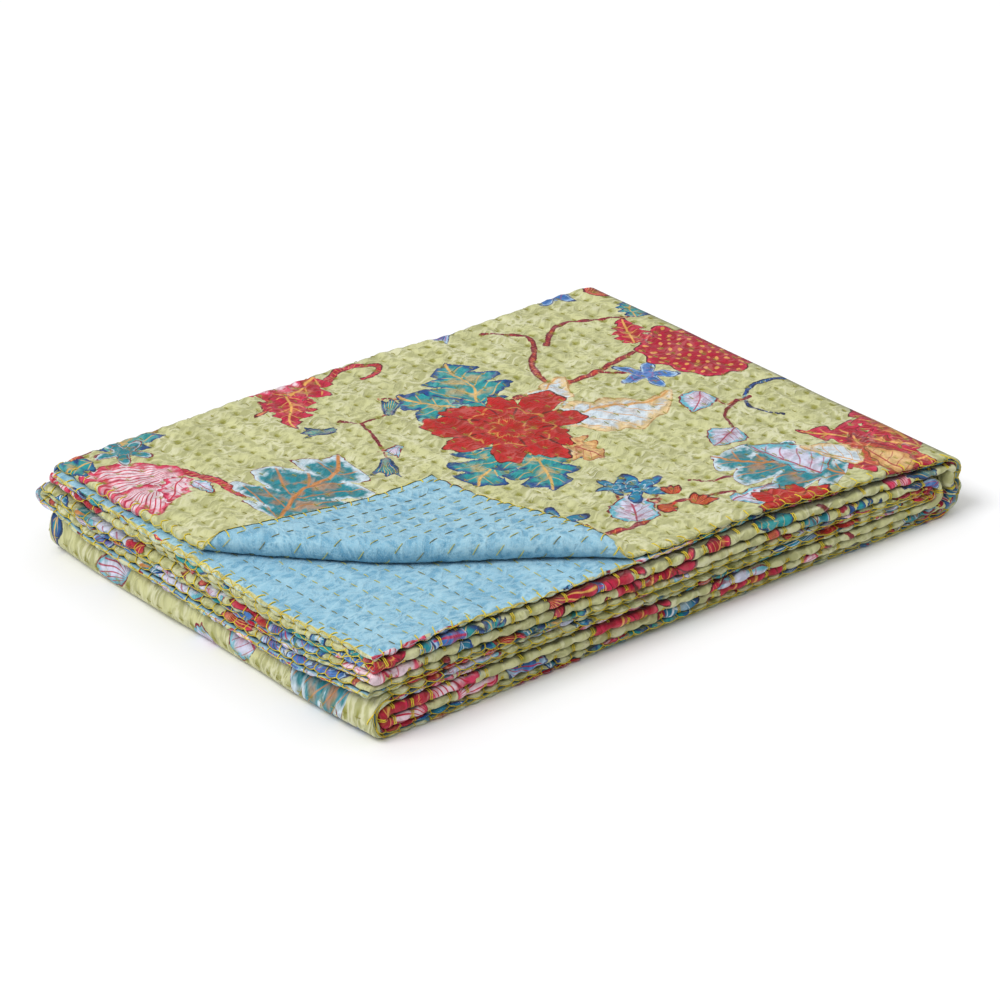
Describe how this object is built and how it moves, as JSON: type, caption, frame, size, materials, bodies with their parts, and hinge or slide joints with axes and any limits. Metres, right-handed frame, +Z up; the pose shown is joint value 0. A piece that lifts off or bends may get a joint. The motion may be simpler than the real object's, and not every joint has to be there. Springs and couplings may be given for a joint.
{
  "type": "kantha quilt",
  "caption": "Folded cotton kantha quilt with a flower print on green, a plain blue backing, hand running stitch and one corner turned back.",
  "frame": {"origin": "middle of the folded quilt's footprint, on the surface it lies on", "axes": "+X along the long side, away from the hemmed end; +Y along the short side, away from the side that shows the layers' rolls; +Z up. The turned corner is at -X, -Y."},
  "size_m": [0.4672, 0.328, 0.068],
  "materials": {
    "printed_face": "matt printed cotton, pale green ground with red, teal, lilac and maroon flowers, puckered by running stitch",
    "blue_backing": "matt plain light blue cotton, creased, with rows of yellow and olive running stitch"
  },
  "bodies": {
    "root": {"printed_face": "printed_face", "blue_backing": "blue_backing"}
  },
  "joints": []
}
